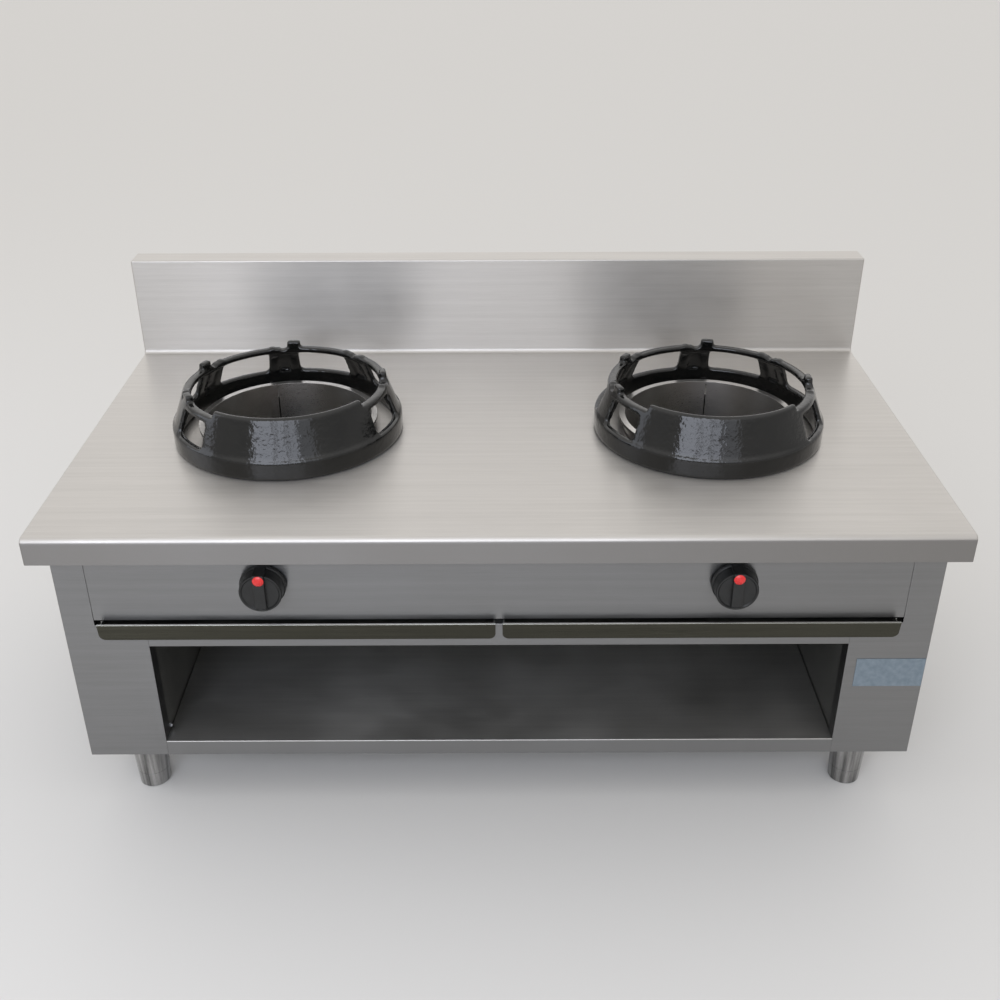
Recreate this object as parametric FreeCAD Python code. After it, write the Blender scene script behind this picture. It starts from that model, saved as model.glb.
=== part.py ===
import FreeCAD, Part

import math
import os

Vector = FreeCAD.Vector

# Two-burner wok range of folded stainless sheet on four adjustable legs.
# Millimetres. X runs along the front, Y to the back, Z up from the floor.
# The origin is on the floor, under the middle of the whole range.

# Worktop and splashback
worktop_width = 1400.0
worktop_depth = 715.0          # front edge to splashback face
worktop_height = 550.0         # floor to cooking surface
worktop_sheet = 2.0
apron_height = 44.0
apron_return = 14.0            # flange turned in along the foot of the apron
nosing_radius = 9.0
side_edge_radius = 2.5
splash_height = 188.0
splash_thickness = 50.0
splash_edge_radius = 3.0
cove_radius = 8.0
splash_back_lip = 22.0

# Cabinet
cabinet_sheet = 1.5
side_overhang = 20.0
front_overhang = 40.0
rear_gap = 40.0                # room for the gas hose behind the cabinet
leg_length = 108.0
post_width = 129.0             # front post beside the storage opening
fascia_post_width = 50.0       # front post beside the control fascia
fascia_height = 126.0          # seen below the apron
slot_height = 10.0             # slot for the drip trays under the fascia
crossbar_height = 41.0
shelf_rail_height = 28.0
post_return = 26.0
panel_flange = 22.0
crossbar_return = 22.0
shelf_return = 20.0
post_edge_radius = 2.0
seam_radius = 1.0
fascia_return = 13.5

# Vent slots of the rear panel
vent_count = 6
vent_length = 120.0
vent_height = 6.0
vent_pitch_x = 190.0
vent_rows = 2
vent_row_pitch = 22.0
vent_drop = 60.0               # worktop underside to the upper row

# Drip trays, their runners and handle strips
tray_gap = 14.0                # between the two trays
tray_side_gap = 13.0           # tray to the end of the fascia slot
tray_wall_height = 8.7
tray_sheet = 1.2
tray_protrusion = 13.0         # tray front ahead of the cabinet front
tray_rear_gap = 16.0
slide_gap = 0.3                # tray above its runners
runner_width = 40.0
runner_guide_height = 7.0
runner_guide_gap = 1.5
runner_rib_height = 6.5
runner_web_height = 18.0
handle_gap = 11.0              # between the two handle strips
handle_end_gap = 8.5          # strip to the end of the fascia slot
handle_sheet = 1.5
handle_rise = 2.0              # strip above the tray wall
handle_height = 30.5
handle_hem_height = 4.0
handle_hem_step = 1.0          # hem proud of the strip's face
handle_hem_radius = 0.9
handle_slant = 8.0             # degrees, foot towards the cabinet
handle_corner_radius = 10.0

# Burner wells
well_margin = 341.0            # worktop end to burner centre
well_setback = 367.5           # worktop front edge to burner centre
sleeve_radius = 142.5
sleeve_sheet = 1.5
sleeve_rise = 25.0             # rim above the cooking surface
sleeve_rim_radius = 151.0
sleeve_rim_depth = 5.0
sleeve_hole_gap = 1.5
sleeve_seam_width = 2.0
sleeve_seam_length = 110.0
sleeve_seam_angle = {"left": 107.0, "right": 82.0}

# Cast wok ring: heights are above the cooking surface
ring_seat_gap = 0.3
ring_radius = 194.0
ring_band_height = 34.0
ring_shoulder = 3.5
ring_wall = 10.0
ring_rim_radius = 171.0
ring_rim_height = 86.0
ring_rim_width = 14.0
ring_rim_thickness = 10.0
ring_seat_height = 98.0        # where the wok rests
ring_round = 2.5
ring_post_count = 5
ring_post_pitch = 49.0         # degrees
ring_post_width = 18.0         # degrees
ring_wall_span = 98.0          # degrees of closed wall at the front
ring_shield_span = 90.0        # degrees of raised shield
ring_window_round = 7.0
ring_groove_angle = 4.0        # degrees
ring_groove_depth = 4.0
ring_channel_angle = 7.0         # degrees, hollow down the inside of each post
ring_channel_depth = 4.5
ring_nub_width = 23.0
ring_nub_offset = 6.8          # degrees from the middle of its post
ring_bump_rise = 2.5
ring_bump_width = 9.0
ring_lug_inset = 1.0           # lug faces inside the faces of the rim
ring_turn = {"left": 10.5, "right": 0.0}

# Burner, its support and its gas parts
rail_offset = 118.0
rail_width = 25.0
rail_height = 15.0
rail_sheet = 2.0
cradle_depth = 84.0
cradle_thickness = 3.0
burner_foot_radius = 38.0
burner_foot_height = 10.0
burner_stem_radius = 28.0
burner_bowl_radius = 76.0
burner_bowl_height = 20.0
burner_wall = 5.0
burner_cone_height = 20.0
venturi_radius = 20.0
venturi_bore = 15.0
venturi_mouth_radius = 26.0
venturi_mouth_length = 22.0
venturi_notch_gap = 3.0
head_height = 24.0
head_top_radius = 52.0
head_bore = 16.0
head_seat_gap = 0.3
head_spigot_height = 5.0
head_port_count = 24
head_port_width = 3.0
head_port_height = 9.0
injector_gap = 9.0             # injector tip to venturi mouth
gas_tube_length = 29.5         # gas valve to injector
injector_length = 20.0
injector_tip_length = 7.0
injector_tip_radius = 4.0
injector_flats = 14.0
gas_tube_radius = 5.0
pilot_offset = 96.0
pilot_radius = 7.0
pilot_height = 46.0
pilot_foot_length = 30.0
pilot_foot_width = 16.0
pilot_foot_thickness = 2.0
pilot_angle = {"left": 40.0, "right": 140.0}
probe_radius = 2.5
probe_spacing = 13.0
probe_rise = 6.0
probe_collar_radius = 5.0
probe_collar_length = 7.0

# Control knobs, spindles and gas valves
knob_drop = 101.5              # cooking surface to knob centre
knob_base_radius = 35.5
knob_face_radius = 32.5
push_travel = 5.0
push_clearance = 0.8           # knob to fascia when pushed right in
knob_depth = 26.0
knob_skirt_depth = 4.0         # straight skirt behind the tapered body
knob_edge_radius = 2.0
knob_dish_depth = 2.0
knob_rim_width = 3.0
grip_width = 17.0
grip_rise = 5.0                # grip proud of the knob's face
grip_edge_radius = 1.5
grip_reach = 34.5              # knob centre to the upper end of the grip
grip_foot_inset = 7.0          # lower end of the grip inside the face
marker_radius = 8.5
marker_rise = 3.2
marker_sink = 2.0
marker_offset = 25.5           # knob centre to marker centre
spindle_radius = 4.0
spindle_flat = 1.0
spindle_grip = 20.0            # spindle inside the knob
spindle_collar_radius = 7.0
spindle_collar_length = 3.0
spindle_hole_gap = 3.0         # fascia hole around the spindle
bore_gap = 0.4
valve_setback = 10.0           # fascia to valve body
valve_width = 38.0
valve_height = 34.0
valve_length = 62.0
valve_nose_radius = 12.0
valve_cavity_radius = 9.0
valve_wall = 4.0
plunger_radius = 8.5
plunger_length = 14.0
plunger_stem_radius = 3.0
plunger_stem_length = 12.0
plunger_gap = 0.5

# Gas supply
manifold_radius = 11.0
manifold_bore = 9.0
manifold_setback = 41.0        # fascia to manifold centre
manifold_overhang = 45.0       # beyond each valve
valve_saddle_depth = 2.0       # valve foot let over the manifold
supply_inset = 115.0           # cabinet side to the supply pipe at the back
supply_bend_radius = 45.0
inlet_thread_radius = 13.2
inlet_thread_length = 16.0
inlet_bore = 9.5
inlet_nut_flats = 36.0
inlet_nut_length = 12.0
inlet_hole_gap = 1.0

# Legs and feet
leg_inset = 76.0               # cabinet side to leg centre
leg_setback = 65.0             # cabinet front or rear to leg centre
leg_radius = 31.0
leg_foot_radius = 27.4
leg_wall = 2.0
leg_cap_thickness = 6.0
foot_height = 30.0
foot_gap = 0.3
foot_radius = 26.0
foot_edge_radius = 1.5
stud_radius = 8.0
stud_length = 48.0
stud_gap = 0.3
leg_insert_height = 14.0
leg_bolt_radius = 5.0
leg_bolt_flats = 17.0
leg_bolt_head = 6.5

# Rating plate, left bare, and small fixings
plate_width = 110.0
plate_height = 54.0
plate_thickness = 0.8
plate_edge_gap = 1.5
plate_drop = 250.0             # cooking surface to plate top
screw_radius = 2.0
screw_head_radius = 4.2
screw_head_height = 2.4
screw_inset = 10.0
screw_length = 8.0
screw_rows = 4
cap_nut_flats = 7.0
cap_nut_length = 3.5
cap_nut_dome = 3.0             # radius of the domed end
cap_nut_setback = 31.0         # cabinet front to the cap nut on the left liner
cap_nut_lift = 9.0             # shelf to the cap nut

# Places worked out from the sizes
half_width = worktop_width / 2
overall_depth = worktop_depth + splash_thickness
front_y = -overall_depth / 2
rear_y = overall_depth / 2
splash_face_y = front_y + worktop_depth
splash_top = worktop_height + splash_height
underside = worktop_height - worktop_sheet
apron_bottom = worktop_height - apron_height

body_half = half_width - side_overhang
burner_offset = half_width - well_margin
supply_offset = body_half - supply_inset
leg_offset = body_half - leg_inset
body_front = front_y + front_overhang
body_rear = rear_y - rear_gap
cabinet_bottom = leg_length
fascia_half = body_half - fascia_post_width
compartment_half = body_half - post_width
fascia_bottom = apron_bottom - fascia_height
crossbar_top = fascia_bottom - slot_height
crossbar_bottom = crossbar_top - crossbar_height
shelf_top = cabinet_bottom + shelf_rail_height
liner_top = crossbar_top - cabinet_sheet
rear_panel_front = body_rear - 2 * cabinet_sheet

well_y = front_y + well_setback
rail_bottom = fascia_bottom + cabinet_sheet
rail_top = rail_bottom + rail_height
cradle_top = rail_top + cradle_thickness
sleeve_top = worktop_height + sleeve_rise
knob_z = worktop_height - knob_drop
knob_back = body_front - push_travel - push_clearance
knob_front = knob_back - knob_depth
valve_front = body_front + valve_setback
valve_rear = valve_front + valve_length
manifold_y = body_front + manifold_setback
manifold_z = knob_z - valve_height / 2 - manifold_radius + valve_saddle_depth
injector_front = valve_rear + gas_tube_length + injector_length
venturi_mouth_y = injector_front + injector_gap
venturi_reach = well_y - venturi_mouth_y
bowl_bottom = knob_z + venturi_radius
bowl_top = bowl_bottom + burner_cone_height + burner_bowl_height

up = Vector(0, 0, 1)
back = Vector(0, 1, 0)
right = Vector(1, 0, 0)


# General shapes

def block(x0, x1, y0, y1, z0, z1):
    return Part.makeBox(x1 - x0, y1 - y0, z1 - z0, Vector(x0, y0, z0))


def rod(start, axis, length, radius):
    return Part.makeCylinder(radius, length, start, axis)


def lathe(points, origin, axis, angle=360.0):
    """Turn a closed outline of (radius, height) points about an axis."""
    across = right if abs(axis.x) < 0.5 else up
    corners = [origin + across * radius + axis * height for radius, height in points]
    face = Part.Face(Part.makePolygon(corners + corners[:1]))
    return face.revolve(origin, axis, angle)


def hexagon(start, axis, length, flats):
    across = right if abs(axis.x) < 0.5 else up
    side = axis.cross(across)
    reach = flats / math.sqrt(3)
    corners = []
    for step in range(6):
        turn = math.radians(60 * step)
        corners.append(start + across * (reach * math.cos(turn)) + side * (reach * math.sin(turn)))
    return Part.Face(Part.makePolygon(corners + corners[:1])).extrude(axis * length)


def join(shapes):
    solid = shapes[0]
    if len(shapes) > 1:
        solid = solid.fuse(shapes[1:])
    return solid.removeSplitter()


def cut_all(solid, cutters):
    return solid.cut(cutters)


def turned_about(solid, x, y, angle):
    result = solid.copy()
    result.rotate(Vector(x, y, 0), up, angle)
    return result


def edges_where(solid, test):
    found = []
    for edge in solid.Edges:
        start = edge.Vertexes[0].Point
        end = edge.Vertexes[-1].Point
        if len(edge.Vertexes) == 2 and test(start, end):
            found.append(edge)
    return found


def near(value, target):
    return abs(value - target) < 0.01


def on_line(solid, y=None, z=None, x=None):
    """Edges whose two ends both lie at the given coordinates."""
    def fits(start, end):
        for point in (start, end):
            if x is not None and not near(point.x, x):
                return False
            if y is not None and not near(point.y, y):
                return False
            if z is not None and not near(point.z, z):
                return False
        return True
    return edges_where(solid, fits)


def rounded(solid, edges, radius):
    return solid.makeFillet(radius, edges)


def for_side(solid, sign):
    """Shapes are drawn for the right-hand side; the left-hand one is its mirror image."""
    if sign > 0:
        return solid
    return solid.mirror(Vector(0, 0, 0), right)


# Worktop and splashback

def worktop():
    t = worktop_sheet
    slab = block(-half_width, half_width, front_y, rear_y, apron_bottom, worktop_height)
    upstand = block(-half_width, half_width, splash_face_y, rear_y, worktop_height, splash_top)
    skin = slab.fuse(upstand).removeSplitter()
    skin = rounded(skin, on_line(skin, y=front_y, z=worktop_height), nosing_radius)
    skin = rounded(skin, on_line(skin, y=splash_face_y, z=worktop_height), cove_radius)
    for x in (-half_width, half_width):
        skin = rounded(skin, on_line(skin, x=x, z=worktop_height), side_edge_radius)
    skin = rounded(skin, on_line(skin, y=splash_face_y, z=splash_top), splash_edge_radius)
    skin = rounded(skin, on_line(skin, y=rear_y, z=splash_top), splash_edge_radius)
    hollow = block(t - half_width, half_width - t, front_y + t, rear_y - t, apron_bottom + t, underside)
    hollow = rounded(hollow, on_line(hollow, y=front_y + t, z=underside), nosing_radius - t)
    splash_hollow = block(t - half_width, half_width - t, splash_face_y + t, rear_y - t,
                          apron_bottom + t, splash_top - t)
    inset = t + apron_return
    mouth = block(inset - half_width, half_width - inset, front_y + inset, rear_y - inset,
                  apron_bottom, apron_bottom + t)
    rear_mouth = block(inset - half_width, half_width - inset, rear_y - t, rear_y,
                       apron_bottom + apron_return, splash_top - splash_back_lip)
    holes = []
    for x in (-burner_offset, burner_offset):
        holes.append(rod(Vector(x, well_y, apron_bottom), up, 2 * apron_height,
                         sleeve_radius + sleeve_hole_gap))
    return cut_all(skin, [hollow, splash_hollow, mouth, rear_mouth] + holes)


def splashback_rear_panel():
    t = worktop_sheet
    plate = block(t - half_width, half_width - t, rear_y - t - cabinet_sheet, rear_y - t,
                  apron_bottom + t, splash_top - t)
    foot = block(-body_half, body_half, body_rear, rear_y - t, apron_bottom + t,
                 apron_bottom + t + cabinet_sheet)
    return join([plate, foot])


# Cabinet

def side_panel(sign):
    t = cabinet_sheet
    wall = block(body_half - t, body_half, body_front, body_rear, cabinet_bottom, underside)
    post = block(compartment_half, body_half, body_front, body_front + t, cabinet_bottom, crossbar_top)
    fascia_post = block(fascia_half, body_half, body_front, body_front + t, crossbar_top, underside)
    inner_return = block(compartment_half, compartment_half + t, body_front, body_front + post_return,
                         cabinet_bottom, crossbar_top)
    upper_return = block(fascia_half, fascia_half + t, body_front, body_front + post_return,
                         crossbar_top, underside)
    floor = block(compartment_half, body_half, body_front, body_rear, cabinet_bottom, cabinet_bottom + t)
    top_flange = block(body_half - panel_flange, body_half, body_front, body_rear, underside - t, underside)
    rear_flange = block(body_half - panel_flange, body_half, body_rear - t, body_rear,
                        cabinet_bottom, underside)
    panel = join([wall, post, fascia_post, inner_return, upper_return, floor, top_flange, rear_flange])
    panel = rounded(panel, on_line(panel, x=body_half, y=body_front), post_edge_radius)
    panel = rounded(panel, on_line(panel, x=compartment_half, y=body_front), seam_radius)
    panel = rounded(panel, on_line(panel, x=fascia_half, y=body_front), seam_radius)
    holes = []
    for y in leg_rows():
        holes.append(rod(Vector(leg_offset, y, cabinet_bottom), up, t, leg_bolt_radius))
    return for_side(cut_all(panel, holes), sign)


def rear_panel():
    plate = block(cabinet_sheet - body_half, body_half - cabinet_sheet, rear_panel_front,
                  rear_panel_front + cabinet_sheet, cabinet_bottom + cabinet_sheet,
                  underside - cabinet_sheet)
    cutters = [rod(Vector(supply_offset, rear_panel_front, manifold_z), back, cabinet_sheet,
                   manifold_radius + inlet_hole_gap)]
    first_x = -vent_pitch_x * (vent_count - 1) / 2
    for column in range(vent_count):
        for row in range(vent_rows):
            x = first_x + column * vent_pitch_x
            z = underside - vent_drop - row * vent_row_pitch
            slot = block(x - vent_length / 2, x + vent_length / 2, rear_panel_front,
                         rear_panel_front + cabinet_sheet, z - vent_height / 2, z + vent_height / 2)
            cutters.append(slot)
    return cut_all(plate, cutters)


def control_fascia():
    t = cabinet_sheet
    face = block(-fascia_half, fascia_half, body_front, body_front + t, fascia_bottom, underside)
    foot = block(-fascia_half, fascia_half, body_front, body_front + fascia_return,
                 fascia_bottom, fascia_bottom + t)
    head = block(-fascia_half, fascia_half, body_front, body_front + fascia_return, underside - t, underside)
    parts = [face, foot, head]
    for sign in (-1, 1):
        parts.append(for_side(block(fascia_half - t, fascia_half, body_front, body_front + fascia_return,
                                    fascia_bottom, underside), sign))
    fascia = join(parts)
    for x in (-fascia_half, fascia_half):
        fascia = rounded(fascia, on_line(fascia, x=x, y=body_front), seam_radius)
    holes = []
    for x in (-burner_offset, burner_offset):
        holes.append(rod(Vector(x, body_front, knob_z), back, t, spindle_radius + spindle_hole_gap))
    return cut_all(fascia, holes)


def crossbar():
    t = cabinet_sheet
    face = block(-compartment_half, compartment_half, body_front, body_front + t,
                 crossbar_bottom, crossbar_top)
    head = block(-compartment_half, compartment_half, body_front, body_front + crossbar_return,
                 crossbar_top - t, crossbar_top)
    foot = block(-compartment_half, compartment_half, body_front, body_front + crossbar_return,
                 crossbar_bottom, crossbar_bottom + t)
    bar = join([face, head, foot])
    bar = rounded(bar, on_line(bar, y=body_front, z=crossbar_top), seam_radius)
    return rounded(bar, on_line(bar, y=body_front, z=crossbar_bottom), seam_radius)


def base_shelf():
    t = cabinet_sheet
    half = compartment_half
    deck = block(-half, half, body_front, rear_panel_front, shelf_top - t, shelf_top)
    rail = block(-half, half, body_front, body_front + t, cabinet_bottom, shelf_top)
    foot = block(-half, half, body_front, body_front + shelf_return, cabinet_bottom, cabinet_bottom + t)
    rear_flange = block(-half, half, rear_panel_front - t, rear_panel_front, cabinet_bottom, shelf_top)
    sides = []
    for sign in (-1, 1):
        sides.append(for_side(block(half - t, half, body_front, rear_panel_front,
                                    cabinet_bottom, shelf_top), sign))
    shelf = join([deck, rail, foot, rear_flange] + sides)
    return rounded(shelf, on_line(shelf, y=body_front, z=shelf_top), seam_radius)


def side_liner(sign):
    t = cabinet_sheet
    inner = compartment_half + t
    wall = block(inner, inner + t, body_front + t, rear_panel_front, cabinet_bottom + t, liner_top)
    ledge = block(inner, body_half - t, body_front + t, rear_panel_front, liner_top - t, liner_top)
    return for_side(join([wall, ledge]), sign)


# Drip trays

tray_inner = tray_gap / 2
tray_outer = fascia_half - tray_side_gap
tray_front = body_front - tray_protrusion
tray_rear = rear_panel_front - tray_rear_gap
tray_floor = crossbar_top + slide_gap
tray_top = tray_floor + tray_wall_height


def tray_runner(sign):
    guide = tray_outer + runner_guide_gap
    ledge = block(guide - runner_width, guide + cabinet_sheet, body_front + cabinet_sheet, rear_panel_front,
                  liner_top, crossbar_top)
    fence = block(guide, guide + cabinet_sheet, body_front + cabinet_sheet, rear_panel_front,
                  crossbar_top, crossbar_top + runner_guide_height)
    return for_side(join([ledge, fence]), sign)


def tray_runner_centre():
    t = cabinet_sheet
    start = body_front + crossbar_return
    ledge = block(-runner_width / 2, runner_width / 2, start, rear_panel_front, liner_top, crossbar_top)
    web = block(-t, t, start, rear_panel_front, liner_top - runner_web_height,
                crossbar_top + runner_rib_height)
    return join([ledge, web])


def drip_tray(sign):
    t = tray_sheet
    pan = block(tray_inner, tray_outer, tray_front, tray_rear, tray_floor, tray_top)
    hollow = block(tray_inner + t, tray_outer - t, tray_front + t, tray_rear - t, tray_floor + t, tray_top)
    return for_side(pan.cut(hollow), sign)


def tray_handle(sign):
    """Leaning strip with a thick hem along its top; the hem is fixed to the tray's front wall."""
    top = tray_top + handle_rise
    hem_bottom = top - handle_hem_height
    bottom = top - handle_height
    lean = math.tan(math.radians(handle_slant))
    upper_y = tray_front - (hem_bottom - crossbar_top) * lean
    lower_y = tray_front + (crossbar_top - bottom) * lean
    hem_front = upper_y - handle_sheet - handle_hem_step
    outline = [
        (tray_front, top),
        (hem_front, top),
        (hem_front, hem_bottom),
        (upper_y - handle_sheet, hem_bottom),
        (lower_y - handle_sheet, bottom),
        (lower_y, bottom),
        (upper_y, hem_bottom),
        (tray_front, hem_bottom),
    ]
    x0 = handle_gap / 2
    x1 = fascia_half - handle_end_gap
    corners = [Vector(x0, y, z) for y, z in outline]
    strip = Part.Face(Part.makePolygon(corners + corners[:1])).extrude(right * (x1 - x0))
    for x in (x0, x1):
        strip = rounded(strip, on_line(strip, x=x, z=bottom), handle_corner_radius)
    crest = on_line(strip, y=hem_front, z=top) + on_line(strip, y=hem_front, z=hem_bottom)
    return for_side(rounded(strip, crest, handle_hem_radius), sign)


# Burner wells

def burner_sleeve(sign, side):
    x = sign * burner_offset
    foot = Vector(x, well_y, rail_top)
    rim_bottom = sleeve_rise + worktop_height - rail_top - sleeve_rim_depth
    rim_top = sleeve_top - rail_top
    inner = sleeve_radius - sleeve_sheet
    outline = [
        (inner, 0),
        (sleeve_radius, 0),
        (sleeve_radius, rim_top - sleeve_sheet),
        (sleeve_rim_radius - sleeve_sheet, rim_top - sleeve_sheet),
        (sleeve_rim_radius - sleeve_sheet, rim_bottom),
        (sleeve_rim_radius, rim_bottom),
        (sleeve_rim_radius, rim_top),
        (inner, rim_top),
    ]
    shell = lathe(outline, foot, up)
    notch_half = venturi_mouth_radius + venturi_notch_gap
    notch = block(x - notch_half, x + notch_half, well_y - 2 * sleeve_radius, well_y, rail_top, knob_z)
    crown = rod(Vector(x, well_y, knob_z), -back, 2 * sleeve_radius, notch_half)
    seam = block(x, x + 2 * sleeve_radius, well_y - sleeve_seam_width / 2, well_y + sleeve_seam_width / 2,
                 sleeve_top - sleeve_rim_depth - sleeve_seam_length, sleeve_top - sleeve_rim_depth)
    seam = turned_about(seam, x, well_y, sleeve_seam_angle[side])
    return cut_all(shell, [notch, crown, seam])


def ring_sector(inner, outer, z0, z1, middle, span, centre):
    """A piece of a flat ring, its middle at an angle measured from +X towards the back."""
    outline = [(inner, z0), (outer, z0), (outer, z1), (inner, z1)]
    piece = lathe(outline, centre, up, span)
    piece.rotate(centre, up, middle - span / 2)
    return piece


def ring_window(middle, span, centre):
    """Cutter for one window of the ring, with its four corners rounded."""
    z1 = ring_rim_height - ring_rim_thickness
    z0 = ring_band_height
    r0 = ring_rim_radius - 3 * ring_wall
    r1 = ring_radius + ring_wall
    outline = [(r0, z0), (r1, z0), (r1, z1), (r0, z1)]
    piece = lathe(outline, centre, up, span)

    def radial(start, end):
        return near(start.z, end.z) and abs(start.sub(centre).Length - end.sub(centre).Length) > ring_wall
    corners = [edge for edge in edges_where(piece, radial) if edge.Curve.TypeId == "Part::GeomLine"]
    piece = rounded(piece, corners, ring_window_round)
    piece.rotate(centre, up, middle - span / 2)
    return piece


def ring_lug(angle, width, z0, z1, centre):
    """A raised lug across the rim."""
    inner = ring_rim_radius - ring_rim_width + ring_lug_inset
    outer = ring_rim_radius - ring_lug_inset
    lug = block(centre.x + inner, centre.x + outer, centre.y - width / 2, centre.y + width / 2,
                centre.z + z0 + ring_lug_inset, centre.z + z1)
    top = [edge for edge in lug.Edges if near(edge.BoundBox.ZMin, centre.z + z1)]
    lug = rounded(lug, top, ring_round * 0.6)
    return turned_about(lug, centre.x, centre.y, angle)


def ring_posts():
    """Middle angle of each post, counted from the right round the back."""
    first = 90 - ring_post_pitch * (ring_post_count - 1) / 2
    return [first + ring_post_pitch * index for index in range(ring_post_count)]


def wok_ring(sign, side):
    centre = Vector(sign * burner_offset, well_y, worktop_height + ring_seat_gap)
    foot = ring_radius - ring_shoulder
    slope = (foot - ring_rim_radius) / (ring_rim_height - ring_band_height)
    crown = foot - slope * (ring_seat_height - ring_band_height)
    rim_inner = ring_rim_radius - ring_rim_width
    band = lathe([(foot - ring_wall, 0), (ring_radius, 0), (ring_radius, ring_band_height - ring_round),
                  (ring_radius - ring_round, ring_band_height), (foot - ring_wall, ring_band_height)],
                 centre, up)
    cone = lathe([(foot - ring_wall, ring_band_height), (foot, ring_band_height),
                  (ring_rim_radius, ring_rim_height), (rim_inner, ring_rim_height)], centre, up)
    rim_bottom = ring_rim_height - ring_rim_thickness
    rim = lathe([(rim_inner, rim_bottom), (ring_rim_radius + slope * ring_round, rim_bottom),
                 (ring_rim_radius, ring_rim_height - ring_round),
                 (ring_rim_radius - ring_round, ring_rim_height), (rim_inner + ring_round, ring_rim_height),
                 (rim_inner, ring_rim_height - ring_round)], centre, up)
    shield = lathe([(rim_inner, rim_bottom), (ring_rim_radius, ring_rim_height),
                    (crown + slope * ring_round, ring_seat_height - ring_round),
                    (crown - ring_round, ring_seat_height), (rim_inner, ring_seat_height - ring_round),
                    ], centre, up, ring_shield_span)
    shield.rotate(centre, up, -90 - ring_shield_span / 2)
    posts = ring_posts()
    window_span = ring_post_pitch - ring_post_width
    windows = []
    for index in range(ring_post_count - 1):
        windows.append(ring_window(posts[index] + ring_post_pitch / 2, window_span, centre))
    front_edge = -90 + ring_wall_span / 2
    post_edge = posts[0] - ring_post_width / 2
    side_span = post_edge - front_edge
    side_middle = (post_edge + front_edge) / 2
    windows.append(ring_window(side_middle, side_span, centre))
    windows.append(ring_window(180 - side_middle, side_span, centre))
    body = join([band, cone, rim, shield])
    body = cut_all(body, windows)
    grooves = []
    lugs = []
    channel = [(rim_inner - ring_wall, ring_band_height),
               (foot - ring_wall + ring_channel_depth, ring_band_height),
               (rim_inner + ring_channel_depth, rim_bottom), (rim_inner - ring_wall, rim_bottom)]
    for index, middle in enumerate(posts):
        towards = ring_nub_offset if index in (0, 3, 4) else -ring_nub_offset
        grooves.append(ring_sector(rim_inner - ring_wall, ring_radius, ring_rim_height - ring_groove_depth,
                                   ring_seat_height, middle, ring_groove_angle, centre))
        lugs.append(ring_lug(middle - towards, ring_bump_width, rim_bottom,
                             ring_rim_height + ring_bump_rise, centre))
        if index != 1:
            lugs.append(ring_lug(middle + towards, ring_nub_width, rim_bottom, ring_seat_height, centre))
        else:
            lugs.append(ring_lug(middle + towards, ring_bump_width, rim_bottom,
                                 ring_rim_height + ring_bump_rise, centre))
        hollow = lathe(channel, centre, up, ring_channel_angle)
        hollow.rotate(centre, up, middle - ring_channel_angle / 2)
        grooves.append(hollow)
    body = cut_all(body, grooves)
    body = join([body] + lugs)
    return turned_about(body, centre.x, centre.y, ring_turn[side])


def burner_support(sign):
    x = sign * burner_offset
    rails = []
    for offset in (-rail_offset, rail_offset):
        left = x + offset - rail_width / 2
        outer = block(left, left + rail_width, body_front + cabinet_sheet, rear_panel_front,
                      rail_bottom, rail_top)
        inner = block(left + rail_sheet, left + rail_width - rail_sheet, body_front + cabinet_sheet,
                      rear_panel_front, rail_bottom, rail_top - rail_sheet)
        rails.append(outer.cut(inner))
    half = math.sqrt((sleeve_radius - 2 * sleeve_sheet) ** 2 - (cradle_depth / 2) ** 2)
    cradle = block(x - half, x + half, well_y - cradle_depth / 2, well_y + cradle_depth / 2,
                   rail_top, cradle_top)
    return join(rails + [cradle])


def burner_body(sign):
    x = sign * burner_offset
    origin = Vector(x, well_y, 0)
    cone_top = bowl_bottom + burner_cone_height
    outline = [
        (0, cradle_top),
        (burner_foot_radius, cradle_top),
        (burner_foot_radius, cradle_top + burner_foot_height),
        (burner_stem_radius, cradle_top + burner_foot_height),
        (burner_stem_radius, bowl_bottom),
        (burner_bowl_radius, cone_top),
        (burner_bowl_radius, bowl_top),
        (burner_bowl_radius - burner_wall, bowl_top),
        (burner_bowl_radius - burner_wall, cone_top + burner_wall / 2),
        (burner_stem_radius - burner_wall, bowl_bottom + burner_wall / 2),
        (burner_stem_radius - burner_wall, knob_z - venturi_bore),
        (0, knob_z - venturi_bore),
    ]
    casting = lathe(outline, origin, up)
    axis_start = Vector(x, venturi_mouth_y, knob_z)
    mouth = lathe([(0, 0), (venturi_mouth_radius, 0), (venturi_radius, venturi_mouth_length),
                   (0, venturi_mouth_length)], axis_start, back)
    pipe = rod(axis_start, back, venturi_reach - burner_stem_radius + burner_wall / 2, venturi_radius)
    throat = lathe([(0, 0), (venturi_mouth_radius - burner_wall / 2, 0),
                    (venturi_bore, venturi_mouth_length), (0, venturi_mouth_length)], axis_start, back)
    bore = rod(axis_start, back, venturi_reach, venturi_bore)
    solid = join([casting, mouth, pipe])
    passage = rod(Vector(x, well_y, knob_z - venturi_bore), up, bowl_bottom - knob_z + venturi_bore,
                  burner_stem_radius - burner_wall)
    return cut_all(solid, [throat, bore, passage])


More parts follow.
